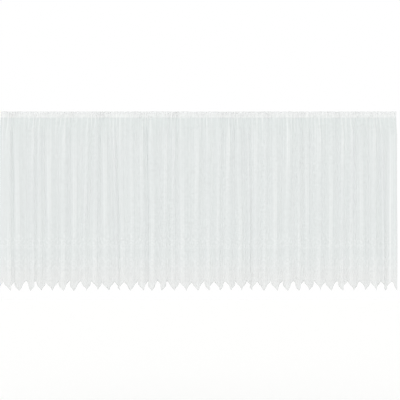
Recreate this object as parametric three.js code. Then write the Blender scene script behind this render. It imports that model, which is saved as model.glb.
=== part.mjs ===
// A net curtain: one wide, short panel of sheer knitted net, gathered along its top edge by a sewn
// tape and cut to a row of points along its hem. The small pleats of the heading merge in pairs into
// the main folds lower down. Sizes are millimetres, +Z is up and the front faces -Y. The origin is
// the middle of the top edge, where the curtain hangs.
import * as THREE from "three";

// Panel
const DROP = 1370; // from the top edge to the tips of the points
const HEM_WIDTH = 3050; // hung width below the heading
const HEADING_WIDTH = 3030; // hung width along the gathered top edge
const NET_THICKNESS = 1.5;

// Pointed hem
const POINT_COUNT = 36; // points along the flat cloth
const POINT_HEIGHT = 72; // from the notches down to the tips
const POINT_HOLLOW = 1.1; // above 1, the sides of the points are hollow and the notches round
const FIRST_NOTCH = 46; // flat cloth between the left edge and the first notch

// Heading
const TAPE_TOP = 2; // below the top edge of the panel
const TAPE_BOTTOM = 44;
const TAPE_THICKNESS = 1.2;
const SEWN_GAP = 0.3; // between the tape and the net

// Folds
const MERGE_END = 180; // below this the pleats have merged into the main folds
const LEAN_END = 900; // below this the folds hang straight down
const HEM_BAND = 120; // height of the lowest strip of the panel
const RIDGE_ROLL = 0.8; // below 1, valleys turn more tightly than ridges
const PLEAT_TURN = 0.9; // steepest slope of the heading's pleats, radians; finer gathers take up the rest
const STEPS_PER_RUN = 6; // columns of the sheet between a valley and a ridge
const TRACE_STEPS = 48; // steps in which the path between them is worked out
const MOST_TURN = 2.1; // the furthest that the cloth may turn from the curtain's plane, radians
const HALVINGS = 40; // of the interval in which a turn is looked for

// The main folds from left to right: where the valley to the left of each lies, where its ridge lies,
// how far ridge and valley stand apart, and how far its ridge leans to the right at the heading.
const FOLDS = [
  [0, 70, 60, 0],
  [102, 138, 60, -20],
  [200, 254, 60, 0],
  [276, 303, 25, 0],
  [343, 376, 65, -8],
  [442, 482, 60, 8],
  [534, 568, 55, 0],
  [618, 652, 30, 20],
  [683, 726, 60, 15],
  [768, 808, 65, -15],
  [868, 896, 25, -30],
  [913, 936, 50, -20],
  [973, 1009, 20, 0],
  [1048, 1086, 60, -8],
  [1133, 1164, 65, -15],
  [1224, 1262, 60, 8],
  [1293, 1324, 20, 8],
  [1362, 1394, 65, -15],
  [1463, 1498, 55, 12],
  [1556, 1590, 55, 0],
  [1626, 1666, 30, 20],
  [1702, 1736, 60, 8],
  [1796, 1832, 65, -15],
  [1880, 1914, 30, -16],
  [1930, 1957, 50, -10],
  [1998, 2027, 20, 8],
  [2062, 2102, 60, -8],
  [2156, 2190, 60, 20],
  [2251, 2286, 50, 6],
  [2318, 2348, 30, -6],
  [2393, 2431, 70, 0],
  [2486, 2523, 60, 8],
  [2585, 2616, 50, 0],
  [2652, 2688, 35, 8],
  [2728, 2764, 55, -15],
  [2823, 2856, 70, 0],
  [2906, 2935, 30, -15],
  [2955, 2985, 55, 8],
].map(([valley, ridge, depth, lean]) => ({ valley, ridge, depth, lean }));

// How far the cloth has turned from the curtain's plane at a share u of the way along a run, as a
// share of the run's greatest turn.
const foldTurn = (u) => Math.sin(Math.PI * u ** RIDGE_ROLL);
const pleatTurn = (u) => Math.sin(2 * Math.PI * u);

// The path of a run of cloth of length 1, as the points after each of many equal steps.
function trace(turn, greatest) {
  const path = [new THREE.Vector2()];
  for (let i = 0; i < TRACE_STEPS; i++) {
    const angle = greatest * turn((i + 0.5) / TRACE_STEPS);
    const step = new THREE.Vector2(Math.cos(angle), -Math.sin(angle));
    path.push(path[i].clone().addScaledVector(step, 1 / TRACE_STEPS));
  }
  return path;
}

// The greatest turn, in radians, at which the run's path meets a test that small turns fail.
function greatestTurn(turn, reached) {
  let low = 0;
  let high = MOST_TURN;
  for (let i = 0; i < HALVINGS; i++) {
    const middle = (low + high) / 2;
    if (reached(trace(turn, middle).at(-1))) high = middle;
    else low = middle;
  }
  return high;
}

// A fold's ridge stands half its depth in front of the curtain's plane, and a valley stands behind it
// by half the mean depth of the folds on its two sides.
const fold = (i) => FOLDS[THREE.MathUtils.clamp(i, 0, FOLDS.length - 1)];
const between = (i, key) => (fold(i - 1)[key] + fold(i)[key]) / 2;
const headingX = (x) => (x / HEM_WIDTH - 0.5) * HEADING_WIDTH;
const hemX = (x) => x - HEM_WIDTH / 2;

// Every valley and ridge in turn: its place at the hem, its place across the heading, and how far it
// leans to the right there.
const turns = FOLDS.flatMap((row, i) => [
  { hem: new THREE.Vector2(hemX(row.valley), between(i, "depth") / 2),
    heading: headingX(row.valley), lean: i ? between(i, "lean") : 0 },
  { hem: new THREE.Vector2(hemX(row.ridge), -row.depth / 2),
    heading: headingX(row.ridge), lean: row.lean },
]);
turns.push({
  hem: new THREE.Vector2(hemX(HEM_WIDTH), between(FOLDS.length, "depth") / 2),
  heading: headingX(HEM_WIDTH),
  lean: 0,
});

// The runs of cloth between a valley and a ridge. Each holds the length of its cloth, where that
// starts along the flat panel, the paths that it takes at the hem and at the heading, and how far its
// two ends lean. A run that goes back to a valley is the mirror image of one that comes forward.
const runs = [];
let flatWidth = 0;
for (let i = 0; i + 1 < turns.length; i++) {
  const span = turns[i + 1].hem.clone().sub(turns[i].hem);
  const forward = span.y < 0;
  const slope = Math.abs(span.y) / span.x;
  const hemTurn = greatestTurn(foldTurn, (end) => -end.y > slope * end.x);
  const path = trace(foldTurn, hemTurn);
  const end = path.at(-1);
  const length = span.x / end.x;
  const back = path.map((p) => new THREE.Vector2(end.x - p.x, p.y - end.y)).reverse();
  const hem = (forward ? path : back)
    .map((p) => p.clone().multiplyScalar(length).add(turns[i].hem));
  const pleatWidth = turns[i + 1].heading - turns[i].heading;
  const pleat = trace(pleatTurn, PLEAT_TURN);
  const pleatScale = pleatWidth / pleat.at(-1).x;
  const heading = pleat
    .map((p) => p.clone().multiplyScalar(pleatScale).add(new THREE.Vector2(turns[i].heading, 0)));
  runs.push({ start: flatWidth, length, hem, heading, lean: [turns[i].lean, turns[i + 1].lean] });
  flatWidth += length;
}

// The heading's pleats stand half in front of the curtain's plane and half behind it.
const pleatPoints = runs.flatMap((run) => run.heading);
const pleatMiddle = pleatPoints.reduce((sum, p) => sum + p.y, 0) / pleatPoints.length;
pleatPoints.forEach((p) => (p.y -= pleatMiddle));

// The run at s along the flat panel, and the share of its length that lies before s.
function runAt(s) {
  const run = runs.findLast((r) => r.start <= s);
  return { run, share: THREE.MathUtils.clamp((s - run.start) / run.length, 0, 1) };
}

// A point of the hem's or the heading's path, s along the flat panel.
function along(path, s) {
  const { run, share } = runAt(s);
  const place = share * TRACE_STEPS;
  const i = Math.min(Math.floor(place), TRACE_STEPS - 1);
  return run[path][i].clone().lerp(run[path][i + 1], place - i);
}

// How far the cloth leans to the right at the heading, s along the flat panel.
function leanAt(s) {
  const { run, share } = runAt(s);
  return THREE.MathUtils.lerp(run.lean[0], run.lean[1], share);
}

// The hem's rise above the tips, which come half a pitch after each notch.
const pointPitch = (flatWidth - FIRST_NOTCH) / (POINT_COUNT - 0.5);
function hemRise(s) {
  const pitches = (s - FIRST_NOTCH) / pointPitch + 1;
  const share = 2 * Math.abs((pitches % 1) - 0.5);
  return POINT_HEIGHT * (1 - (1 - share) ** POINT_HOLLOW);
}

// The columns of the sheet, s along the flat panel, with one at each tip and each notch.
const columns = runs.flatMap((run) =>
  Array.from({ length: STEPS_PER_RUN }, (_, k) => run.start + (run.length * k) / STEPS_PER_RUN));
columns.push(flatWidth);
for (let s = FIRST_NOTCH; s < flatWidth; s += pointPitch / 2) {
  const gaps = columns.map((column) => Math.abs(column - s));
  columns[gaps.indexOf(Math.min(...gaps))] = s;
}

// The middle of the net along one level, as points in plan from the left edge to the right.
function planAt(below) {
  const merged = THREE.MathUtils.smoothstep(below, TAPE_BOTTOM, MERGE_END);
  const leaning = Math.max(1 - below / LEAN_END, 0);
  return columns.map((s) => {
    const place = along("heading", s).lerp(along("hem", s), merged);
    place.x += leaning * leanAt(s);
    return place;
  });
}

// The direction behind the cloth at each point of a plan, long enough to keep a layer's thickness
// where the plan bends.
function behind(plan) {
  return plan.map((p, i) => {
    const before = p.clone().sub(plan[Math.max(i - 1, 0)]).normalize();
    const after = plan[Math.min(i + 1, plan.length - 1)].clone().sub(p).normalize();
    const way = before.clone().add(after).normalize();
    const bend = Math.max(way.dot(before), way.dot(after));
    return new THREE.Vector2(-way.y, way.x).divideScalar(bend);
  });
}

// A closed sheet from levels, each with its plan, its heights, and how far its two faces lie behind
// the middle of the net.
function sheet(levels, faceBehind, backBehind) {
  const across = columns.length;
  const positions = [];
  const index = [];
  for (const distance of [faceBehind, backBehind]) {
    for (const { plan, heights } of levels) {
      const out = behind(plan);
      plan.forEach((p, i) => {
        const moved = p.clone().addScaledVector(out[i], distance);
        positions.push(moved.x, moved.y, heights[i]);
      });
    }
  }
  const face = (row, i) => row * across + i;
  const back = (row, i) => (levels.length + row) * across + i;
  const quad = (a, b, c, d) => index.push(a, b, c, a, c, d);
  const last = levels.length - 1;
  const right = across - 1;
  for (let i = 0; i < right; i++) {
    for (let row = 0; row < last; row++) {
      quad(face(row, i), face(row + 1, i), face(row + 1, i + 1), face(row, i + 1));
      quad(back(row, i), back(row, i + 1), back(row + 1, i + 1), back(row + 1, i));
    }
    quad(face(0, i), face(0, i + 1), back(0, i + 1), back(0, i));
    quad(face(last, i), back(last, i), back(last, i + 1), face(last, i + 1));
  }
  for (let row = 0; row < last; row++) {
    quad(face(row, 0), back(row, 0), back(row + 1, 0), face(row + 1, 0));
    quad(face(row, right), face(row + 1, right), back(row + 1, right), back(row, right));
  }
  const geometry = new THREE.BufferGeometry();
  geometry.setAttribute("position", new THREE.Float32BufferAttribute(positions, 3));
  geometry.setIndex(index);
  geometry.computeVertexNormals();
  return geometry;
}

const level = (below) => ({ plan: planAt(below), heights: columns.map(() => -below) });

// Net panel, whose lowest level follows the points of the hem
const hemLevel = { plan: planAt(DROP), heights: columns.map((s) => hemRise(s) - DROP) };
const panelLevels = [0, TAPE_BOTTOM, MERGE_END, LEAN_END, DROP - HEM_BAND].map(level);
const netPanel = new THREE.Mesh(
  sheet([...panelLevels, hemLevel], -NET_THICKNESS / 2, NET_THICKNESS / 2),
  new THREE.MeshStandardMaterial({ color: 0xe4e8e7, roughness: 0.9, transparent: true, opacity: 0.8 }),
);
netPanel.name = "net_panel";

// Heading tape, sewn behind the net and gathered with it
const tapeFace = NET_THICKNESS / 2 + SEWN_GAP;
const headingTape = new THREE.Mesh(
  sheet([TAPE_TOP, TAPE_BOTTOM].map(level), tapeFace, tapeFace + TAPE_THICKNESS),
  new THREE.MeshStandardMaterial({ color: 0xf0f1ef, roughness: 0.85 }),
);
headingTape.name = "heading_tape";

const curtain = new THREE.Group();
curtain.add(netPanel, headingTape);
export default curtain;
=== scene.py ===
"""The looks of the net curtain: sheer folded net, lace border, pointed hem and gathered heading.

The cloth hangs in the folds of the frame's solids, worked out from the same short table of folds.
Everything is in metres, +Z up, with the front towards -Y and the origin in the middle of the top edge.
"""
import logging
import math
from dataclasses import dataclass, field
from enum import Enum
from typing import NamedTuple

import bpy
import numpy as np
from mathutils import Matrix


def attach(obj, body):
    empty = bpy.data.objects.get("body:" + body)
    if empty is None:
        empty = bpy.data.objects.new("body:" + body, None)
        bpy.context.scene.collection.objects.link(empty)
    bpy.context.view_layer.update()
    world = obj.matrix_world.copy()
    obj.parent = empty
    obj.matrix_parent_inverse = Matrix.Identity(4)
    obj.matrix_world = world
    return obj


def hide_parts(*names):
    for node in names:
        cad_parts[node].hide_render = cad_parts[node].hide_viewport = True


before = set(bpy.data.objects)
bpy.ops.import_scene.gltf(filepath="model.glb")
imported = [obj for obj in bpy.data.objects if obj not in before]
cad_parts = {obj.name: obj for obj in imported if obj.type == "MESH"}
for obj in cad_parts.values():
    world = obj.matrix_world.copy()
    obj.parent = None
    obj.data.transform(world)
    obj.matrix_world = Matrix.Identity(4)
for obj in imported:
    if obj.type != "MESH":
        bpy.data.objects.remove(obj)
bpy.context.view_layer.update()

LOG = logging.getLogger("net_curtain")
BODY = "root"
MM = 0.001
CLOTH_MAP = "OFBake"  # flat cloth, 0 to 1 from the left edge and up from the tips of the points
PAINTED_HIGHLIGHT = "painted_highlight"  # the painted highlight: how much lighter the net's colour is painted along the front edges of folds and gathers and on steep sides


class Side(Enum):
    """A side of the cloth, as the sign of the way to it from the middle of the cloth."""

    FACE = -1
    BACK = 1


class Fold(NamedTuple):
    """One main fold, in millimetres from the left edge of the hung curtain."""

    valley: float  # the valley to the left of the fold
    ridge: float
    depth: float  # how far ridge and valley stand apart
    lean: float  # how far the ridge leans to the right at the heading


FOLDS = tuple(
    Fold(*row)
    for row in (
        (0, 70, 60, 0),
        (102, 138, 60, -20),
        (200, 254, 60, 0),
        (276, 303, 25, 0),
        (343, 376, 65, -8),
        (442, 482, 60, 8),
        (534, 568, 55, 0),
        (618, 652, 30, 20),
        (683, 726, 60, 15),
        (768, 808, 65, -15),
        (868, 896, 25, -30),
        (913, 936, 50, -20),
        (973, 1009, 20, 0),
        (1048, 1086, 60, -8),
        (1133, 1164, 65, -15),
        (1224, 1262, 60, 8),
        (1293, 1324, 20, 8),
        (1362, 1394, 65, -15),
        (1463, 1498, 55, 12),
        (1556, 1590, 55, 0),
        (1626, 1666, 30, 20),
        (1702, 1736, 60, 8),
        (1796, 1832, 65, -15),
        (1880, 1914, 30, -16),
        (1930, 1957, 50, -10),
        (1998, 2027, 20, 8),
        (2062, 2102, 60, -8),
        (2156, 2190, 60, 20),
        (2251, 2286, 50, 6),
        (2318, 2348, 30, -6),
        (2393, 2431, 70, 0),
        (2486, 2523, 60, 8),
        (2585, 2616, 50, 0),
        (2652, 2688, 35, 8),
        (2728, 2764, 55, -15),
        (2823, 2856, 70, 0),
        (2906, 2935, 30, -15),
        (2955, 2985, 55, 8),
    )
)


def linear(code: str) -> tuple[float, float, float, float]:
    """Turns an sRGB hex colour into the linear colour that shaders take.

    Args:
        code: The colour, such as "#E4E8E7".

    Returns:
        Red, green, blue and an alpha of 1.
    """
    shares = [int(code[i : i + 2], 16) / 255 for i in (1, 3, 5)]
    red, green, blue = (c / 12.92 if c <= 0.04045 else ((c + 0.055) / 1.055) ** 2.4 for c in shares)
    return red, green, blue, 1.0


def smooth_step(low: float, high: np.ndarray | float, value: np.ndarray) -> np.ndarray:
    """Rises smoothly from 0 at low to 1 at high.

    Args:
        low: Where the rise starts.
        high: Where it ends.
        value: The places to work it out at.

    Returns:
        The share of the rise at each place.
    """
    share = np.clip((value - low) / (high - low), 0.0, 1.0)
    return share * share * (3.0 - 2.0 * share)


class Wave(NamedTuple):
    """A slow wave over the cloth, by the lengths in which it turns through a radian."""

    down: float  # from the top edge
    along: float  # the flat cloth, below 0 where the wave slants the other way

    def at(self, s: np.ndarray, below: np.ndarray) -> np.ndarray:
        """Gives the wave, from -1 to 1, at places along the flat cloth and below its top edge."""
        return np.sin(below / self.down + s / self.along)


class Ripple(NamedTuple):
    """A row of wrinkles that run down the cloth."""

    pitch: float  # along the flat cloth
    stray: float  # how far their lines stray, in radians of the pitch
    path: Wave  # in which they do

    def at(self, s: np.ndarray, below: np.ndarray) -> np.ndarray:
        """Gives the wrinkles, from -1 in front to 1 behind, at places as for a wave."""
        return np.sin(2 * np.pi * s / self.pitch + self.stray * self.path.at(s, below))


class Beat(NamedTuple):
    """How unevenly gathers end along the cloth: a quick wave that swells and dies with a slow one."""

    swing: float
    quick: float  # the flat cloth in which each wave turns through a radian
    slow: float
    start: float  # of the slow wave, in radians

    def at(self, s: np.ndarray) -> np.ndarray:
        """Gives the share of the usual length, about 1, at places along the flat cloth."""
        return 1 + self.swing * np.sin(s / self.quick) * np.sin(s / self.slow + self.start)


@dataclass
class Drape:
    """How the net hangs: where each point of the flat cloth lies in space."""

    drop: float = 1370 * MM
    hem_width: float = 3050 * MM
    heading_width: float = 3030 * MM
    heading_height: float = 44 * MM
    merge_end: float = 180 * MM  # below this the pleats have merged into the main folds
    merge_beat: Beat = Beat(0.22, 137 * MM, 411 * MM, 1.0)
    lean_end: float = 900 * MM  # below this the folds hang straight down
    ridge_roll: float = 0.8  # below 1, valleys turn more tightly than ridges
    point_count: int = 36
    point_height: float = 72 * MM
    point_hollow: float = 1.1  # above 1, the sides of the points are hollow and the notches round
    first_notch: float = 46 * MM  # flat cloth between the left edge and the first notch
    pleat_turn: float = 0.9  # steepest turn of the heading's pleats, in radians
    gathers: Ripple = Ripple(52 * MM, 2.0, Wave(math.inf, 310 * MM))  # finer than the pleats
    gather_height: float = 1.0 * MM  # to either side
    gather_end: float = 420 * MM  # about where they have died out
    gather_beat: Beat = Beat(0.5, 83 * MM, 290 * MM, 0.5)
    gather_edge: int = 4  # the greater, the narrower the painted highlights on their front edges
    gather_highlight_share: float = 1.4  # how strong those painted highlights are, beside a deep fold's
    highlight_rise: float = 4 * MM  # width of the painted highlight on a fold's front edge to its left, along the flat cloth
    highlight_fall: float = 36 * MM  # and to its right
    highlight_flat: float = 0.7  # the share of that before it fades
    highlight_wave: Wave = Wave(190 * MM, 61 * MM)  # in which it comes and goes
    highlight_swing: float = 0.4  # how far it does
    tape_highlight_share: float = 2.0  # how much stronger the painted highlight on the gathers' edges is near the tape behind them
    tape_highlight_end: float = 66 * MM  # below this nothing of that is left
    steep_highlight_share: float = 1.0  # how strong the painted highlight is on cloth that runs straight back, beside a front edge
    ripple_height: float = 0.2 * MM  # of the small soft wrinkles between the folds
    wide_ripple: Ripple = Ripple(43 * MM, 1.3, Wave(330 * MM, 520 * MM))
    fine_ripple: Ripple = Ripple(26.5 * MM, 1.7, Wave(240 * MM, -340 * MM))
    fine_share: float = 0.5  # height of the fine wrinkles, beside the wide ones
    ripple_swell: Wave = Wave(450 * MM, 97 * MM)  # in which the two take turns
    sway: float = 3.0 * MM  # how far the folds stray from straight lines
    sway_across: Wave = Wave(210 * MM, 190 * MM)
    sway_deep: Wave = Wave(270 * MM, -123 * MM)
    way_reach: float = 1.5 * MM  # to either side of a point, for the way that the cloth runs there
    trace_steps: int = 96  # in which the cloth between a valley and a ridge is worked out
    most_turn: float = 2.1  # the furthest that the cloth may turn from the curtain's plane, in radians
    turn_steps: int = 4000  # in which a turn is looked for
    station: np.ndarray = field(init=False)
    hem: np.ndarray = field(init=False)
    heading: np.ndarray = field(init=False)
    lean: np.ndarray = field(init=False)

    def __post_init__(self) -> None:
        """Works out the paths of the cloth at the hem and at the heading."""
        hem_ends, heading_ends, leans = self._turns()
        share = (np.arange(self.trace_steps) + 0.5) / self.trace_steps
        fold_turn = np.sin(np.pi * share**self.ridge_roll)
        pleat_turn = np.sin(2 * np.pi * share)
        station, hem, heading = [np.zeros(1)], [hem_ends[:1]], [np.array([[heading_ends[0], 0.0]])]
        for i, (start, stop) in enumerate(zip(hem_ends[:-1], hem_ends[1:])):
            across, forward = stop - start
            slope = abs(forward) / across
            path = self._path(fold_turn, self._turn_for_slope(fold_turn, slope))
            length = across / path[-1, 0]
            if forward > 0:
                path = (path[-1] * (1, -1) - path * (1, -1))[::-1]
            pleat_width = heading_ends[i + 1] - heading_ends[i]
            pleat = self._path(pleat_turn, self.pleat_turn)
            pleat *= pleat_width / pleat[-1, 0]
            station.append(station[-1][-1] + length * np.append(share[1:] - share[0], 1.0))
            hem.append(start + length * path[1:])
            heading.append(np.array([heading_ends[i], 0.0]) + pleat[1:])
        self.station = np.concatenate(station)
        self.hem = np.concatenate(hem)
        self.heading = np.concatenate(heading)
        self.heading[:, 1] -= self.heading[:, 1].mean()
        self.lean = np.interp(self.station, self.station[:: self.trace_steps], leans)

    @property
    def flat_width(self) -> float:
        """The width of the net before it is gathered."""
        return float(self.station[-1])

    @property
    def pitch(self) -> float:
        """The flat cloth from one point of the hem to the next."""
        return (self.flat_width - self.first_notch) / (self.point_count - 0.5)

    def _turns(self) -> tuple[np.ndarray, np.ndarray, np.ndarray]:
        """Places every valley and ridge in turn.

        Returns:
            Their places in plan at the hem, their places across the heading, and how far they lean there.
        """
        valley, ridge, depth, lean = (np.array(column) * MM for column in zip(*FOLDS))
        padded_depth = np.concatenate([depth[:1], depth, depth[-1:]])
        set_back = (padded_depth[:-1] + padded_depth[1:]) / 4
        hem = np.empty((2 * len(FOLDS) + 1, 2))
        hem[0::2, 0] = np.append(valley, self.hem_width)
        hem[1::2, 0] = ridge
        hem[0::2, 1] = set_back
        hem[1::2, 1] = -depth / 2
        valley_lean = np.concatenate([[0.0], (lean[:-1] + lean[1:]) / 2, [0.0]])
        leans = np.empty(len(hem))
        leans[0::2] = valley_lean
        leans[1::2] = lean
        heading = (hem[:, 0] / self.hem_width - 0.5) * self.heading_width
        hem[:, 0] -= self.hem_width / 2
        return hem, heading, leans

    @staticmethod
    def _path(turn: np.ndarray, greatest: float) -> np.ndarray:
        """Traces a run of cloth of length 1 that turns by a share of its greatest angle at each step.

        Args:
            turn: The share at each step.
            greatest: The greatest angle, in radians.

        Returns:
            The points in plan, from the origin on.
        """
        angle = greatest * turn
        steps = np.stack([np.cos(angle), -np.sin(angle)], axis=1) / len(turn)
        return np.vstack([np.zeros(2), np.cumsum(steps, axis=0)])

    def _turn_for_slope(self, turn: np.ndarray, slope: float) -> float:
        """Finds the greatest angle of a run that comes forward by slope times its width.

        Args:
            turn: The share of the angle at each step.
            slope: The run's depth over its width.

        Returns:
            The angle, in radians.
        """
        angles = np.linspace(0.0, self.most_turn, self.turn_steps)
        cos, sin = (np.array([f(a * turn).mean() for a in angles]) for f in (np.cos, np.sin))
        return float(angles[np.argmax(sin > slope * cos)])

    def rise(self, s: np.ndarray) -> np.ndarray:
        """Gives the hem's height above the tips of its points.

        Args:
            s: Places along the flat cloth.

        Returns:
            The height at each place.
        """
        share = 2 * np.abs(((s - self.first_notch) / self.pitch + 1.0) % 1.0 - 0.5)
        return self.point_height * (1 - (1 - share) ** self.point_hollow)

    def merged(self, s: np.ndarray, below: np.ndarray) -> np.ndarray:
        """Tells how far the heading's pleats have merged into the main folds.

        Args:
            s: Places along the flat cloth.
            below: Their distances below the top edge.

        Returns:
            The share at each place, 0 at the heading and 1 lower down.
        """
        return smooth_step(self.heading_height, self.merge_end * self.merge_beat.at(s), below)

    def plan(self, s: np.ndarray, below: np.ndarray) -> np.ndarray:
        """Places points of the cloth in plan.

        Args:
            s: Places along the flat cloth.
            below: Their distances below the top edge.

        Returns:
            The points' x and y, on the last axis.
        """
        merged = self.merged(s, below)
        at = [
            np.interp(s, self.station, self.heading[:, axis]) * (1 - merged)
            + np.interp(s, self.station, self.hem[:, axis]) * merged
            for axis in (0, 1)
        ]
        leaning = np.maximum(1 - below / self.lean_end, 0.0)
        at[0] = at[0] + leaning * np.interp(s, self.station, self.lean)
        stray = self.sway * smooth_step(self.heading_height, self.drop, below)
        at[0] = at[0] + stray * self.sway_across.at(s, below)
        at[1] = at[1] + stray * self.sway_deep.at(s, below)
        return np.stack(at, axis=-1)

    def ripple(self, s: np.ndarray, below: np.ndarray) -> np.ndarray:
        """Gives the finer gathers and the small wrinkles that run down the cloth between its folds.

        Args:
            s: Places along the flat cloth.
            below: Their distances below the top edge.

        Returns:
            How far the cloth stands behind its smooth folds at each place.
        """
        fade = smooth_step(self.heading_height, 2 * self.heading_height, below)
        swell = (1 + self.ripple_swell.at(s, below)) / 2
        wide = swell * self.wide_ripple.at(s, below)
        fine = (1 - swell) * self.fine_share * self.fine_ripple.at(s, below)
        gathers = self.gather_height * self.gathered(s, below) * self.gathers.at(s, below)
        return self.ripple_height * fade * (wide + fine) + gathers

    def gathered(self, s: np.ndarray, below: np.ndarray) -> np.ndarray:
        """Tells how much of the finer gathers is left, from 1 at the heading to 0 lower down."""
        return 1 - smooth_step(self.heading_height, self.gather_end * self.gather_beat.at(s), below)

    def painted_highlight(self, s: np.ndarray, below: np.ndarray) -> np.ndarray:
        """Gives the painted highlight: how much lighter the net's colour is painted along front edges and
        on steep sides.

        Args:
            s: Places along the flat cloth.
            below: Their distances below the top edge.

        Returns:
            The painted highlight at each place, about 1 along the front edge of a deep fold.
        """
        ridge = self.station[self.trace_steps :: 2 * self.trace_steps]
        depth = np.array([fold.depth for fold in FOLDS])
        nearest = np.searchsorted((ridge[:-1] + ridge[1:]) / 2, s)
        away = s - ridge[nearest]
        left = smooth_step(-self.highlight_rise, 0.0, away)
        right = 1 - smooth_step(self.highlight_flat * self.highlight_fall, self.highlight_fall, away)
        edge = left * right * np.sqrt(depth[nearest] / depth.max())
        fine_edge = ((1 - self.gathers.at(s, below)) / 2) ** self.gather_edge
        edges = edge * self.merged(s, below) + self.gather_highlight_share * fine_edge * self.gathered(s, below)
        edges *= 1 - self.highlight_swing + self.highlight_swing * self.highlight_wave.at(s, below)
        # painted highlight on the gathers' edges, stronger near the tape
        tape_highlight = self.tape_highlight_share * fine_edge * (1 - smooth_step(0.0, self.tape_highlight_end, below))
        # painted highlight on cloth that runs straight back
        steep = self.steep_highlight_share * (1 - self.way(s, below)[..., 0]) ** 2
        return edges + tape_highlight + steep

    def way(self, s: np.ndarray, below: np.ndarray) -> np.ndarray:
        """Gives the way that the cloth runs in plan.

        Args:
            s: Places along the flat cloth.
            below: Their distances below the top edge.

        Returns:
            A direction in x and y of length 1, on the last axis.
        """
        way = self.plan(s + self.way_reach, below) - self.plan(s - self.way_reach, below)
        return way / np.linalg.norm(way, axis=-1, keepdims=True)

    def place(self, s: np.ndarray, below: np.ndarray, behind: np.ndarray | float = 0.0) -> np.ndarray:
        """Places points of the cloth in space.

        Args:
            s: Places along the flat cloth.
            below: Their distances below the top edge.
            behind: How far behind the middle of the net they lie.

        Returns:
            The points, with x, y and z on the last axis.
        """
        s, below, behind = np.broadcast_arrays(s, below, behind)
        middle = self.plan(s, below)
        way = self.way(s, below)
        out = np.stack([-way[..., 1], way[..., 0]], axis=-1)
        flat = middle + out * (behind + self.ripple(s, below))[..., None]
        return np.concatenate([flat, -below[..., None]], axis=-1)


def add_mesh(
    name: str,
    points: np.ndarray,
    faces: np.ndarray,
    cloth: np.ndarray | None = None,
    painted_highlight: np.ndarray | None = None,
) -> bpy.types.Object:
    """Makes an object from arrays of points and faces.

    Args:
        name: The object's name.
        points: One row of x, y and z for each point.
        faces: One row of point numbers for each face, three or four wide.
        cloth: The place of each point on the flat cloth, from 0 to 1, for the cloth map.
        painted_highlight: How much lighter each point's colour is painted, as a highlight, for the net's
            finish.

    Returns:
        The object, smooth shaded, at the origin.
    """
    mesh = bpy.data.meshes.new(name)
    mesh.vertices.add(len(points))
    mesh.vertices.foreach_set("co", points.astype(np.float32).ravel())
    sides = faces.shape[1]
    mesh.loops.add(faces.size)
    mesh.loops.foreach_set("vertex_index", faces.astype(np.int32).ravel())
    mesh.polygons.add(len(faces))
    mesh.polygons.foreach_set("loop_start", np.arange(0, faces.size, sides, dtype=np.int32))
    if cloth is not None:
        layer = mesh.uv_layers.new(name=CLOTH_MAP)
        layer.uv.foreach_set("vector", cloth[faces.ravel()].astype(np.float32).ravel())
    if painted_highlight is not None:
        mesh.attributes.new(PAINTED_HIGHLIGHT, "FLOAT", "POINT").data.foreach_set("value", painted_highlight.astype(np.float32))
    mesh.update(calc_edges=True)
    mesh.validate()
    mesh.shade_smooth()
    piece = bpy.data.objects.new(name, mesh)
    bpy.context.scene.collection.objects.link(piece)
    return piece


def sheet_faces(rows: int, columns: int) -> np.ndarray:
    """Numbers the faces of a closed sheet whose points are two grids, its face and its back.

    Args:
        rows: Rows of each grid, from the top down.
        columns: Columns of each grid, from left to right.

    Returns:
        The four points of each face, so that the faces point outwards.
    """
    face = np.arange(rows * columns).reshape(rows, columns)
    back = face + rows * columns
    front_quads = np.stack([face[:-1, :-1], face[1:, :-1], face[1:, 1:], face[:-1, 1:]], axis=-1)
    back_quads = np.stack([back[:-1, :-1], back[:-1, 1:], back[1:, 1:], back[1:, :-1]], axis=-1)
    top = np.stack([face[0, :-1], face[0, 1:], back[0, 1:], back[0, :-1]], axis=-1)
    bottom = np.stack([face[-1, :-1], back[-1, :-1], back[-1, 1:], face[-1, 1:]], axis=-1)
    left = np.stack([face[:-1, 0], back[:-1, 0], back[1:, 0], face[1:, 0]], axis=-1)
    right = np.stack([face[:-1, -1], face[1:, -1], back[1:, -1], back[:-1, -1]], axis=-1)
    return np.concatenate([q.reshape(-1, 4) for q in (front_quads, back_quads, top, bottom, left, right)])


Tree = bpy.types.NodeTree
Source = bpy.types.Node | bpy.types.NodeSocket  # what feeds an input; a node stands for its first output


def add_node(
    tree: Tree,
    kind: str,
    links: dict[str | int, Source] | None = None,
    sockets: dict[str | int, object] | None = None,
    **settings: object,
) -> bpy.types.Node:
    """Adds a shader node with its settings, the values of its sockets and the links into it.

    Args:
        tree: The node tree that it joins.
        kind: The node's type, without the ShaderNode that they all start with.
        links: What feeds each linked input, by the input's name or number.
        sockets: The values of inputs that nothing feeds.
        settings: The node's own settings.

    Returns:
        The node.
    """
    node = tree.nodes.new("ShaderNode" + kind)
    for name, value in settings.items():
        setattr(node, name, value)
    for name, value in (sockets or {}).items():
        node.inputs[name].default_value = value
    for name, source in (links or {}).items():
        output = source.outputs[0] if isinstance(source, bpy.types.Node) else source
        tree.links.new(output, node.inputs[name])
    return node


def new_material(name: str) -> tuple[bpy.types.Material, Tree]:
    """Makes a material with only its output node.

    Args:
        name: The material's name.

    Returns:
        The material and its emptied node tree.
    """
    material = bpy.data.materials.new(name)
    material.use_nodes = True
    tree = material.node_tree
    tree.nodes.clear()
    add_node(tree, "OutputMaterial")
    return material, tree


def use_shader(tree: Tree, shader: bpy.types.Node) -> None:
    """Links a shader to the material's output."""
    tree.links.new(shader.outputs[0], tree.nodes["Material Output"].inputs["Surface"])


class Flower(NamedTuple):
    """A flower of the border, in millimetres from the middle of a point and up from its tip."""

    across: float
    height: float
    radius: float
    petals: int
    turn: float  # in radians


class Leaf(NamedTuple):
    """A leaf of the border, from its stalk to its tip, in millimetres as for a flower."""

    across: float
    height: float
    tip_across: float
    tip_height: float
    width: float


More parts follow.
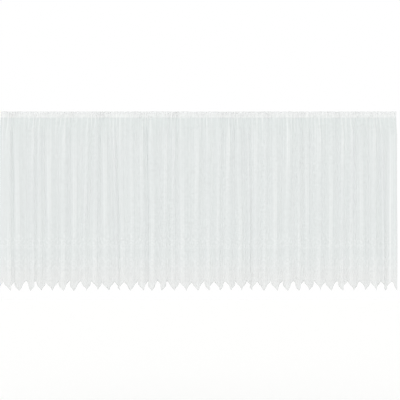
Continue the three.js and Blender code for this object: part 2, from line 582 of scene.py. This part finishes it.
@dataclass(frozen=True)
class LaceFigures:
    """The figures knitted into the border: a garland, flowers with leaves, and a trellis above the points.

    They repeat at every point of the hem, and are the same to the left and right of its middle.
    """

    pitch: float
    first_notch: float
    line: float = 3.2 * MM  # half the width of stalks and trellis, as fine as the render can show
    softness: float = 6 * MM  # of the figures' edges, where the knitting changes over a few stitches
    garland_height: float = 350 * MM
    garland_wave: float = 12 * MM
    trellis: tuple[float, float] = (84 * MM, 152 * MM)  # its foot and its top, above the tips
    trellis_per_point: int = 6
    petal_depth: float = 0.4  # how far the gaps between petals reach in, as a share of a flower's radius
    ring_share: float = 0.4  # the radius of the open ring round a flower's eye, as a share of its own
    ring_from: float = 28.0  # millimetres; smaller flowers have no ring
    flowers: tuple[Flower, ...] = (  # 74.7 mm is half a point, so those stand above the notches
        Flower(0.0, 366.0, 31.0, 5, 0.3),
        Flower(74.7, 338.0, 20.0, 5, 1.2),
        Flower(0.0, 206.0, 43.0, 6, 0.0),
        Flower(74.7, 172.0, 24.0, 5, 1.5),
    )
    leaves: tuple[Leaf, ...] = (
        Leaf(20.0, 380.0, 50.0, 406.0, 17.0),
        Leaf(24.0, 350.0, 54.0, 318.0, 16.0),
        Leaf(0.0, 398.0, 0.0, 442.0, 17.0),
        Leaf(46.0, 360.0, 70.0, 384.0, 14.0),
        Leaf(32.0, 230.0, 60.0, 262.0, 19.0),
        Leaf(40.0, 190.0, 58.0, 148.0, 17.0),
        Leaf(74.7, 206.0, 74.7, 250.0, 18.0),
        Leaf(0.0, 252.0, 0.0, 284.0, 15.0),
        Leaf(0.0, 18.0, 0.0, 64.0, 19.0),
        Leaf(8.0, 40.0, 34.0, 74.0, 15.0),
        Leaf(40.0, 76.0, 62.0, 66.0, 10.0),
    )

    def mask(self, tree: Tree, metres: Source) -> Source:
        """Adds where the figures are.

        Args:
            tree: The material's node tree.
            metres: The place on the flat cloth, in metres from the left edge and up from the tips.

        Returns:
            The output, 1 within the figures and 0 between them.
        """
        parts = add_node(tree, "SeparateXYZ", {0: metres})
        up = parts.outputs["Y"]
        turns = add_node(
            tree, "Math", {0: parts.outputs["X"]},
            {1: 1 / self.pitch, 2: -self.first_notch / self.pitch}, operation="MULTIPLY_ADD",
        )
        across = turns
        steps = (("FRACT", 0.0), ("SUBTRACT", 0.5), ("ABSOLUTE", 0.0), ("MULTIPLY", self.pitch))
        for operation, number in steps:
            across = add_node(tree, "Math", {0: across}, {1: number}, operation=operation)
        place = add_node(tree, "CombineXYZ", {"X": across, "Y": up})
        outside = self._garland(tree, turns, up)
        figures = [self._trellis(tree, turns, up)]
        figures += [self._flower(tree, place, flower) for flower in self.flowers]
        figures += [self._leaf(tree, place, leaf) for leaf in self.leaves]
        for figure in figures:
            outside = add_node(tree, "Math", {0: outside, 1: figure}, operation="MINIMUM")
        return add_node(
            tree, "MapRange", {"Value": outside},
            {"From Min": self.softness / 2, "From Max": -self.softness / 2},
            interpolation_type="SMOOTHSTEP",
        )

    def _garland(self, tree: Tree, turns: Source, up: Source) -> Source:
        """Adds how far a place lies outside the garland's waving stalk.

        Args:
            tree: The material's node tree.
            turns: The place along the flat cloth, counted in points of the hem.
            up: The height above the tips.

        Returns:
            The distance, below 0 inside.
        """
        outside = turns
        for operation, first, second in (
            ("MULTIPLY", 2 * math.pi, 0.0),
            ("COSINE", 0.0, 0.0),
            ("MULTIPLY_ADD", self.garland_wave, -self.garland_height),
        ):
            outside = add_node(tree, "Math", {0: outside}, {1: first, 2: second}, operation=operation)
        outside = add_node(tree, "Math", {0: outside, 1: up}, operation="ADD")
        for operation, number in (("ABSOLUTE", 0.0), ("SUBTRACT", self.line)):
            outside = add_node(tree, "Math", {0: outside}, {1: number}, operation=operation)
        return outside

    def _trellis(self, tree: Tree, turns: Source, up: Source) -> Source:
        """Adds how far a place lies outside the slanted bars of the trellis.

        Args:
            tree: The material's node tree.
            turns: The place along the flat cloth, counted in points of the hem.
            up: The height above the tips.

        Returns:
            The distance, below 0 inside.
        """
        low, high = self.trellis
        mesh = self.pitch / self.trellis_per_point
        bars = []
        for way in (-1, 1):
            slope = add_node(
                tree, "Math", {0: up}, {1: way / mesh, 2: -way * low / mesh}, operation="MULTIPLY_ADD",
            )
            bar = add_node(
                tree, "Math", {0: turns, 2: slope}, {1: self.trellis_per_point}, operation="MULTIPLY_ADD",
            )
            for operation, number in (("FRACT", 0.0), ("SUBTRACT", 0.5), ("ABSOLUTE", 0.0)):
                bar = add_node(tree, "Math", {0: bar}, {1: number}, operation=operation)
            bars.append(bar)
        nearest = add_node(tree, "Math", {0: bars[0], 1: bars[1]}, operation="MINIMUM")
        slanted = add_node(
            tree, "Math", {0: nearest}, {1: mesh / math.sqrt(2), 2: -self.line}, operation="MULTIPLY_ADD",
        )
        beyond = up
        steps = (("SUBTRACT", (low + high) / 2), ("ABSOLUTE", 0.0), ("SUBTRACT", (high - low) / 2))
        for operation, number in steps:
            beyond = add_node(tree, "Math", {0: beyond}, {1: number}, operation=operation)
        return add_node(tree, "Math", {0: slanted, 1: beyond}, operation="MAXIMUM")

    def _flower(self, tree: Tree, place: Source, flower: Flower) -> Source:
        """Adds how far a place lies outside a flower.

        Args:
            tree: The material's node tree.
            place: The distance from the middle of the point, and the height above its tip.
            flower: The flower.

        Returns:
            The distance, below 0 inside.
        """
        size = flower.radius * MM
        middle = (flower.across * MM, flower.height * MM, 0.0)
        from_middle = add_node(tree, "VectorMath", {0: place}, {1: middle}, operation="SUBTRACT")
        radius = add_node(tree, "VectorMath", {0: from_middle}, operation="LENGTH").outputs["Value"]
        parts = add_node(tree, "SeparateXYZ", {0: from_middle})
        edge = add_node(
            tree, "Math", {0: parts.outputs["X"], 1: parts.outputs["Y"]}, operation="ARCTAN2",
        )
        for operation, first, second in (
            ("MULTIPLY_ADD", flower.petals / 2, flower.petals / 2 * flower.turn),
            ("COSINE", 0.0, 0.0),
            ("ABSOLUTE", 0.0, 0.0),
            ("MULTIPLY_ADD", self.petal_depth * size, (1 - self.petal_depth) * size),
        ):
            edge = add_node(tree, "Math", {0: edge}, {1: first, 2: second}, operation=operation)
        outside = add_node(tree, "Math", {0: radius, 1: edge}, operation="SUBTRACT")
        if flower.radius < self.ring_from:
            return outside
        ring = radius
        for operation, first, second in (
            ("SUBTRACT", self.ring_share * size, 0.0),
            ("ABSOLUTE", 0.0, 0.0),
            ("MULTIPLY_ADD", -1.0, self.line),
        ):
            ring = add_node(tree, "Math", {0: ring}, {1: first, 2: second}, operation=operation)
        return add_node(tree, "Math", {0: outside, 1: ring}, operation="MAXIMUM")

    @staticmethod
    def _leaf(tree: Tree, place: Source, leaf: Leaf) -> Source:
        """Adds how far a place lies outside a leaf, which is where two round discs overlap.

        Args:
            tree: The material's node tree.
            place: The distance from the middle of the point, and the height above its tip.
            leaf: The leaf.

        Returns:
            The distance, below 0 inside.
        """
        stalk = np.array([leaf.across, leaf.height]) * MM
        tip = np.array([leaf.tip_across, leaf.tip_height]) * MM
        width = leaf.width * MM
        length = float(np.hypot(*(tip - stalk)))
        radius = (length**2 + width**2) / (4 * width)
        aside = np.array([stalk[1] - tip[1], tip[0] - stalk[0]]) / length * (radius - width / 2)
        reach = []
        for way in (-1, 1):
            middle = (*((stalk + tip) / 2 + way * aside), 0.0)
            disc = add_node(tree, "VectorMath", {0: place}, {1: middle}, operation="DISTANCE")
            reach.append(disc.outputs["Value"])
        further = add_node(tree, "Math", {0: reach[0], 1: reach[1]}, operation="MAXIMUM")
        return add_node(tree, "Math", {0: further}, {1: radius}, operation="SUBTRACT")


@dataclass(frozen=True)
class KnittedNet:
    """Knitted polyester net, heat set and bleached.

    Its open meshes and thin yarns let light through from behind, so folds shade it only faintly, and one
    layer reads a little grey and cool. The closer knitting of figures is whiter and hides more, and so do
    the painted highlights along fold edges, steep sides and a line near the right edge.
    """

    flat_width: float
    drop: float
    heading_height: float
    figures: LaceFigures
    side_highlight: float = 90 * MM  # from the right edge to a painted highlight along a lit fold ridge, along the flat cloth
    side_highlight_reach: float = 16 * MM  # how far that spreads to either side
    side_highlight_share: float = 0.5  # how strong that painted highlight is at the hem; it fades towards the heading
    ground: str = "#DBE1E0"
    ground_cover: float = 0.35  # of each face of the sheet
    ground_glow: float = 0.38  # share of the light on it that comes out of its other side
    band: str = "#DFE1E0"  # the closer ground round the trellis and the points
    band_top: float = 100 * MM  # above the tips, where it starts to give way to the open ground
    band_end: float = 265 * MM  # where it has done so
    under_heading_shade: str = "#D2DBD9"  # painted shade on the ground below the heading, where the gathers would shade it
    under_heading_shade_from: float = 15 * MM  # below the heading
    under_heading_shade_to: float = 210 * MM
    heading: str = "#F8F9F9"
    heading_low: str = "#F7F9F8"  # its lower half, where the tape's channel lies behind it
    heading_cover: float = 0.38
    heading_middle: tuple[float, float] = (0.55, 0.45)  # where the halves meet, as shares of its height
    heading_edge: float = 2.74 * MM  # half the height in which the heading gives way to the ground
    dense: str = "#FDFEFD"
    dense_cover: float = 0.42
    figure_share: float = 0.12  # how far the figures go from the ground towards the densest cloth
    painted_highlight_share: float = 0.27  # how far the painted highlights along fold edges and steep sides go towards the densest cloth
    streak_share: float = 0.06
    streak_width: float = 60 * MM  # uneven bands of yarn, as wide as the finest that show
    streak_length: float = 2400 * MM
    knit_share: float = 0.03
    knit_relief: float = 0.4 * MM
    knit_strength: float = 0.25
    wale_pitch: float = 16 * MM  # really about 1 mm, drawn coarser so that it shows
    course_pitch: float = 6 * MM  # really about 1 mm, drawn coarser so that it shows
    roughness: float = 0.85
    sheen: float = 0.25
    sheen_roughness: float = 0.4
    ior: float = 1.45
    specular: float = 0.2

    def material(self) -> bpy.types.Material:
        """Builds the material.

        Returns:
            The net's material, which follows the flat cloth.
        """
        material, tree = new_material("knitted_polyester_net")
        cloth = add_node(tree, "UVMap", uv_map=CLOTH_MAP)
        size = (self.flat_width, self.drop, 0.0)
        metres = add_node(tree, "VectorMath", {0: cloth}, {1: size}, operation="MULTIPLY")
        parts = add_node(tree, "SeparateXYZ", {0: cloth})
        knit = self._knit(tree, metres)
        share = self._share(tree, parts, metres, knit)
        bands = self._bands(tree, parts.outputs["Y"])
        colour = add_node(
            tree, "Mix", {"Factor": share, 6: bands}, {7: linear(self.dense)}, data_type="RGBA",
        ).outputs[2]
        cover = add_node(
            tree, "Mix", {"Factor": share, 2: bands.outputs["Alpha"]}, {3: self.dense_cover},
        )
        bump = add_node(
            tree, "Bump", {"Height": knit}, {"Strength": self.knit_strength, "Distance": self.knit_relief},
        )
        yarn = add_node(
            tree, "BsdfPrincipled", {"Base Color": colour, "Normal": bump},
            {"Roughness": self.roughness, "Sheen Weight": self.sheen,
             "Sheen Roughness": self.sheen_roughness, "IOR": self.ior, "Specular IOR Level": self.specular},
        )
        through = add_node(tree, "BsdfTranslucent", {"Color": colour})
        lit = add_node(tree, "MixShader", {1: yarn, 2: through}, {0: self.ground_glow})
        meshes = add_node(tree, "BsdfTransparent")
        use_shader(tree, add_node(tree, "MixShader", {0: cover, 1: meshes, 2: lit}))
        return material

    def _share(self, tree: Tree, parts: bpy.types.Node, metres: Source, knit: Source) -> Source:
        """Adds how far the net goes from its open ground towards its densest cloth, painted highlights
        included.

        Args:
            tree: The material's node tree.
            parts: The node that gives the place on the flat cloth, from 0 to 1 along it and up it.
            metres: The place on the flat cloth, in metres.
            knit: The relief of the knit.

        Returns:
            The output, 0 on the open ground and 1 where the cloth is densest or the painted highlight
            strongest.
        """
        # painted highlight along a lit fold ridge near the right edge, strongest at the hem
        aside = parts.outputs["X"]
        for operation, number in (("SUBTRACT", 1 - self.side_highlight / self.flat_width), ("ABSOLUTE", 0.0)):
            aside = add_node(tree, "Math", {0: aside}, {1: number}, operation=operation)
        reach = self.side_highlight_reach / self.flat_width
        side = add_node(
            tree, "MapRange", {"Value": aside},
            {"From Max": reach, "To Min": self.side_highlight_share, "To Max": 0.0},
            interpolation_type="SMOOTHSTEP",
        )
        fading = add_node(tree, "Math", {1: parts.outputs["Y"]}, {0: 1.0}, operation="SUBTRACT")
        share = add_node(tree, "Math", {0: side, 1: fading}, operation="MULTIPLY")
        stretch = (1 / self.streak_width, 1 / self.streak_length, 1.0)
        drawn_out = add_node(tree, "Mapping", {"Vector": metres}, {"Scale": stretch})
        streaks = add_node(tree, "TexNoise", {"Vector": drawn_out}, {"Scale": 1.0, "Detail": 2.0})
        # painted highlight along the front edges and steep sides of folds, from the points of the mesh
        painted_highlight = add_node(tree, "Attribute", attribute_name=PAINTED_HIGHLIGHT).outputs["Fac"]
        for source, weight in (
            (self.figures.mask(tree, metres), self.figure_share),
            (streaks, self.streak_share),
            (painted_highlight, self.painted_highlight_share),
            (knit, self.knit_share),
        ):
            share = add_node(tree, "Math", {0: source, 2: share}, {1: weight}, operation="MULTIPLY_ADD")
        share.use_clamp = True
        return share

    def _bands(self, tree: Tree, height: Source) -> bpy.types.Node:
        """Adds the colour of the ground at each height, with painted shade below the heading, and its cover
        as alpha.

        Args:
            tree: The material's node tree.
            height: The height above the tips of the points, as a share of the drop.

        Returns:
            The colour ramp.
        """
        ramp = add_node(tree, "ValToRGB", {"Fac": height})
        heading = self.drop - self.heading_height
        low_end, high_start = (self.drop - share * self.heading_height for share in self.heading_middle)
        stops = (
            (0.0, self.band, self.ground_cover),
            (self.band_top, self.band, self.ground_cover),
            (self.band_end, self.ground, self.ground_cover),
            (heading - self.under_heading_shade_to, self.ground, self.ground_cover),
            # painted shade below the heading, darkest here
            (heading - self.under_heading_shade_from, self.under_heading_shade, self.ground_cover),
            (heading - self.heading_edge, self.ground, self.ground_cover),
            (heading + self.heading_edge, self.heading_low, self.heading_cover),
            (low_end, self.heading_low, self.heading_cover),
            (high_start, self.heading, self.heading_cover),
        )
        elements = ramp.color_ramp.elements
        for number, (place, colour, cover) in enumerate(stops):
            stop = elements[number] if number < 2 else elements.new(place / self.drop)
            stop.position = place / self.drop
            stop.color = (*linear(colour)[:3], cover)
        return ramp

    def _knit(self, tree: Tree, metres: Source) -> Source:
        """Adds the wales and courses of the knit.

        Args:
            tree: The material's node tree.
            metres: The place on the flat cloth, in metres.

        Returns:
            The output, from -1 to 1.
        """
        parts = add_node(tree, "SeparateXYZ", {0: metres})
        waves = []
        for axis, pitch in (("X", self.wale_pitch), ("Y", self.course_pitch)):
            turns = add_node(
                tree, "Math", {0: parts.outputs[axis]}, {1: 2 * math.pi / pitch}, operation="MULTIPLY",
            )
            waves.append(add_node(tree, "Math", {0: turns}, operation="SINE"))
        return add_node(tree, "Math", {0: waves[0], 1: waves[1]}, operation="MULTIPLY")


@dataclass(frozen=True)
class WhiteYarn:
    """White polyester yarn, twisted, knitted or woven.

    It is matt, with a fine even grain, and sheer where the threads lie apart.
    """

    name: str
    colour: str
    shade: str
    grain: float  # spacing of the threads, drawn coarser than the real 0.2 mm or so, so that it shows
    cover: float  # of each face, below 1 because the threads lie apart
    relief: float = 0.3 * MM
    relief_strength: float = 0.3
    roughness: float = 0.8
    sheen: float = 0.2
    sheen_roughness: float = 0.4
    specular: float = 0.2

    def material(self) -> bpy.types.Material:
        """Builds the material.

        Returns:
            The yarn's material.
        """
        material, tree = new_material(self.name)
        place = add_node(tree, "TexCoord").outputs["Object"]
        grain = add_node(tree, "TexNoise", {"Vector": place}, {"Scale": 1 / self.grain, "Detail": 3.0})
        colour = add_node(
            tree, "Mix", {"Factor": grain},
            {6: linear(self.shade), 7: linear(self.colour)}, data_type="RGBA",
        ).outputs[2]
        bump = add_node(
            tree, "Bump", {"Height": grain}, {"Strength": self.relief_strength, "Distance": self.relief},
        )
        yarn = add_node(
            tree, "BsdfPrincipled", {"Base Color": colour, "Normal": bump},
            {"Roughness": self.roughness, "Sheen Weight": self.sheen,
             "Sheen Roughness": self.sheen_roughness, "Specular IOR Level": self.specular},
        )
        gaps = add_node(tree, "BsdfTransparent")
        use_shader(tree, add_node(tree, "MixShader", {1: gaps, 2: yarn}, {0: self.cover}))
        return material


# Loose soft knitting, so the edging is a pale rim that is nearly as sheer as the net.
EDGING_YARN = WhiteYarn("knitted_edging_yarn", "#FDFEFD", "#FAFBFA", 2.0 * MM, 0.35)
# Thin open weaving, so the tape is whiter than the net before it and light comes through both.
TAPE_YARN = WhiteYarn("sheer_polyester_tape", "#FBFCFC", "#F8F9F9", 1.5 * MM, 0.42)
# Thin spun thread, white and a little hairy, so the stitches are soft dashes without gloss.
THREAD = WhiteYarn("spun_polyester_thread", "#FDFEFD", "#F6F7F6", 0.8 * MM, 0.5)


@dataclass
class NetPanel:
    """The wide panel of net, from the gathered top edge to the points of the hem."""

    drape: Drape
    thickness: float = 0.5 * MM
    columns_per_point: int = 32
    heading_rows: int = 4
    body_rows: int = 26
    hem_rows: int = 7
    hem_band: float = 110 * MM  # above the tips, where the rows start to follow the points

    def columns(self) -> np.ndarray:
        """Places the columns along the flat cloth, with one at every notch and tip.

        Returns:
            Their distances from the left edge.
        """
        step = self.drape.pitch / self.columns_per_point
        before = math.ceil(self.drape.first_notch / step)
        count = round((self.drape.flat_width - self.drape.first_notch) / step)
        inner = self.drape.first_notch + step * np.arange(1 - before, count)
        return np.concatenate([[0.0], inner, [self.drape.flat_width]])

    def build(self) -> bpy.types.Object:
        """Builds the panel as a thin closed sheet.

        Returns:
            The panel.
        """
        drape = self.drape
        s = self.columns()
        band_top = drape.drop - self.hem_band
        upper = np.concatenate([
            np.linspace(0.0, drape.heading_height, self.heading_rows, endpoint=False),
            np.linspace(drape.heading_height, band_top, self.body_rows, endpoint=False),
        ])
        hem = drape.drop - drape.rise(s)
        share = np.linspace(0.0, 1.0, self.hem_rows)[:, None]
        below = np.vstack([np.repeat(upper[:, None], len(s), axis=1), band_top + share * (hem - band_top)])
        across = np.broadcast_to(s, below.shape)
        half = self.thickness / 2
        layers = [drape.place(s, below, side.value * half).reshape(-1, 3) for side in Side]
        cloth = np.stack([across / drape.flat_width, 1 - below / drape.drop], axis=-1).reshape(-1, 2)
        # the painted highlight, how much lighter the net's colour is painted at each point
        painted_highlight = drape.painted_highlight(across, below).ravel()
        return add_mesh(
            "net_cloth", np.concatenate(layers), sheet_faces(*below.shape),
            np.tile(cloth, (2, 1)), np.tile(painted_highlight, 2),
        )

    def dress(self, net: bpy.types.Object) -> None:
        """Gives the panel its finish, and hides the frame's panel, in whose place it hangs.

        Args:
            net: The panel.
        """
        drape = self.drape
        figures = LaceFigures(drape.pitch, drape.first_notch)
        finish = KnittedNet(drape.flat_width, drape.drop, drape.heading_height, figures)
        net.data.materials.append(finish.material())
        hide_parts("net_panel")


@dataclass
class HemEdging:
    """The close edging that is knitted round the points of the hem, thicker than the net."""

    drape: Drape
    width: float = 5.0 * MM  # up the cloth
    overhang: float = 1.0 * MM  # how far it stands beyond the net
    thickness: float = 1.2 * MM
    thinning: float = 0.6  # the share of its thickness that it loses towards its sides
    rows: int = 5

    def build(self, s: np.ndarray) -> bpy.types.Object:
        """Builds the edging as a closed strip, rounded across.

        Args:
            s: The columns along the flat cloth.

        Returns:
            The edging.
        """
        hem = self.drape.drop - self.drape.rise(s) + self.overhang
        share = np.linspace(-1.0, 1.0, self.rows)[:, None]
        below = hem - (1 - share) / 2 * (self.width + self.overhang)
        half = self.thickness / 2 * (1 - self.thinning * share**2)
        layers = [self.drape.place(s, below, side.value * half).reshape(-1, 3) for side in Side]
        return add_mesh("hem_edging", np.concatenate(layers), sheet_faces(*below.shape))

    @staticmethod
    def dress(edging: bpy.types.Object) -> None:
        """Gives the edging its finish."""
        edging.data.materials.append(EDGING_YARN.material())


@dataclass
class HeadingTape:
    """The gathering tape sewn behind the top edge, with raised channels for its draw cords."""

    drape: Drape
    top: float = 2 * MM
    bottom: float = 44 * MM
    gap: float = 1.05 * MM  # from the middle of the net to the face of the tape
    thickness: float = 0.9 * MM
    cord_rise: float = 0.9 * MM
    cord_height: float = 4 * MM
    cords: tuple[float, ...] = (10 * MM, 23 * MM, 36 * MM)
    rows: int = 28

    def build(self, s: np.ndarray) -> bpy.types.Object:
        """Builds the tape as a closed strip.

        Args:
            s: The columns along the flat cloth.

        Returns:
            The tape.
        """
        below = np.linspace(self.top, self.bottom, self.rows)[:, None]
        bulge = sum(np.exp(-(((below - cord) / (self.cord_height / 2)) ** 2)) for cord in self.cords)
        depth = self.gap + self.thickness + self.cord_rise * bulge
        layers = [self.drape.place(s, below, behind).reshape(-1, 3) for behind in (self.gap, depth)]
        return add_mesh("heading_tape_woven", np.concatenate(layers), sheet_faces(self.rows, len(s)))

    @staticmethod
    def dress(tape: bpy.types.Object) -> None:
        """Gives the tape its finish, and hides the frame's tape, in whose place it lies.

        Args:
            tape: The tape.
        """
        tape.data.materials.append(TAPE_YARN.material())
        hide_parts("heading_tape")


@dataclass
class Stitching:
    """The rows of lockstitch that hold the tape, on the face of the net and on the back of the tape."""

    drape: Drape
    rows: tuple[float, ...] = (3 * MM, 17 * MM, 42 * MM)
    pitch: float = 6.5 * MM  # really about 3 mm, drawn longer so that it shows
    length: float = 4.2 * MM
    barrel: float = 0.6  # the share of that between a stitch's tapered ends
    radius: float = 0.45 * MM
    sides: int = 5

    def build(self, side: Side, behind: float) -> bpy.types.Object:
        """Builds the rows on one side of the heading.

        Args:
            side: The side.
            behind: How far behind the middle of the net the thread lies.

        Returns:
            The stitches, as one piece.
        """
        angle = 2 * np.pi * np.arange(self.sides) / self.sides
        ring = np.stack([np.cos(angle), np.sin(angle)], axis=1) * self.radius
        half = self.length / 2
        rings = np.repeat([-half * self.barrel, half * self.barrel], self.sides)
        along = np.concatenate([[-half], rings, [half]])
        section = np.vstack([[0.0, 0.0], ring, ring, [0.0, 0.0]])
        middles = np.arange(self.pitch, self.drape.flat_width - self.pitch, self.pitch)
        s = (middles[:, None] + along)[None]
        below = np.array(self.rows)[:, None, None] + section[:, 0]
        points = self.drape.place(s, below, behind + section[:, 1])
        first = len(along) * np.arange(points.size // 3 // len(along))
        faces = self._faces() + first[:, None, None]
        return add_mesh(f"stitches_{side.name.lower()}", points.reshape(-1, 3), faces.reshape(-1, 3))

    @staticmethod
    def dress(stitches: list[bpy.types.Object]) -> None:
        """Gives the rows on both sides their thread.

        Args:
            stitches: The rows on each side.
        """
        thread = THREAD.material()
        for piece in stitches:
            piece.data.materials.append(thread)

    def _faces(self) -> np.ndarray:
        """Numbers the faces of one stitch: a tip, two rings and a tip.

        Returns:
            Three points for each face.
        """
        faces = []
        last = 2 * self.sides + 1
        for i in range(self.sides):
            j = (i + 1) % self.sides
            near, near_next, far, far_next = 1 + i, 1 + j, 1 + self.sides + i, 1 + self.sides + j
            faces += [(0, near, near_next), (near, far, far_next), (near, far_next, near_next)]
            faces.append((last, far_next, far))
        return np.array(faces)


@dataclass(frozen=True)
class Studio:
    """The pale floor, the soft light and the camera."""

    floor_z: float = -2.35
    floor_size: float = 24.0
    floor_colour: str = "#FDFDFC"
    floor_roughness: float = 0.9
    surround: float = 1.0  # strength of the even white light from all sides
    key: float = 0.1  # strength of the key light
    key_spread: float = math.radians(60)  # so wide that its shadows have no edges
    key_tilt: float = math.radians(50)
    key_turn: float = math.radians(-35)
    camera_back: float = 10.0
    camera_x: float = 12.6 * MM
    camera_z: float = -677 * MM
    sensor: float = 36.0  # in millimetres, as Blender has it
    picture_pixels: int = 400
    pixel: float = 7.65 * MM  # what one pixel of the picture spans where the curtain hangs

    def build(self) -> None:
        """Builds the studio."""
        self._floor()
        self._light()
        self._camera()

    def _floor(self) -> None:
        """Lays the floor, of matt painted board that sends soft light up and has no gloss."""
        bpy.ops.object.select_all(action="DESELECT")
        bpy.ops.mesh.primitive_plane_add(size=self.floor_size, location=(0.0, 0.0, self.floor_z))
        floor = bpy.context.object
        floor.name = "floor"
        material, tree = new_material("pale_floor")
        paint = {"Base Color": linear(self.floor_colour), "Roughness": self.floor_roughness}
        use_shader(tree, add_node(tree, "BsdfPrincipled", None, paint))
        floor.data.materials.append(material)

    def _light(self) -> None:
        """Adds an even white surround and one large soft key light."""
        world = bpy.data.worlds.new("studio_white")
        world.use_nodes = True
        surround = world.node_tree.nodes["Background"]
        surround.inputs["Color"].default_value = (1.0, 1.0, 1.0, 1.0)
        surround.inputs["Strength"].default_value = self.surround
        bpy.context.scene.world = world
        key = bpy.data.lights.new("key", "SUN")
        key.energy = self.key
        key.angle = self.key_spread
        lamp = bpy.data.objects.new("key", key)
        lamp.rotation_euler = (self.key_tilt, 0.0, self.key_turn)
        bpy.context.scene.collection.objects.link(lamp)

    def _camera(self) -> None:
        """Sets a long lens square on to the curtain."""
        data = bpy.data.cameras.new("camera")
        data.sensor_width = self.sensor
        data.lens = self.sensor * self.camera_back / (self.picture_pixels * self.pixel)
        camera = bpy.data.objects.new("camera", data)
        camera.location = (self.camera_x, -self.camera_back, self.camera_z)
        camera.rotation_euler = (math.radians(90), 0.0, 0.0)
        bpy.context.scene.collection.objects.link(camera)
        bpy.context.scene.camera = camera
        bpy.context.scene.view_settings.view_transform = "Standard"


def main() -> None:
    logging.basicConfig(level=logging.INFO, format="%(name)s: %(message)s")
    Studio().build()
    drape = Drape()
    LOG.info("flat width %.3f m, points %.1f mm apart", drape.flat_width, drape.pitch / MM)
    panel = NetPanel(drape)
    columns = panel.columns()
    net = panel.build()
    panel.dress(net)
    hem = HemEdging(drape)
    edging = hem.build(columns)
    hem.dress(edging)
    heading = HeadingTape(drape)
    tape = heading.build(columns)
    heading.dress(tape)
    stitching = Stitching(drape)
    stitches = [
        stitching.build(Side.FACE, -panel.thickness / 2 - stitching.radius / 2),
        stitching.build(Side.BACK, heading.gap + heading.thickness + stitching.radius / 2),
    ]
    stitching.dress(stitches)
    for piece in (net, edging, tape, *stitches):
        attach(piece, BODY)
        LOG.info("%s: %d faces", piece.name, len(piece.data.polygons))


if __name__ == "__main__":
    main()
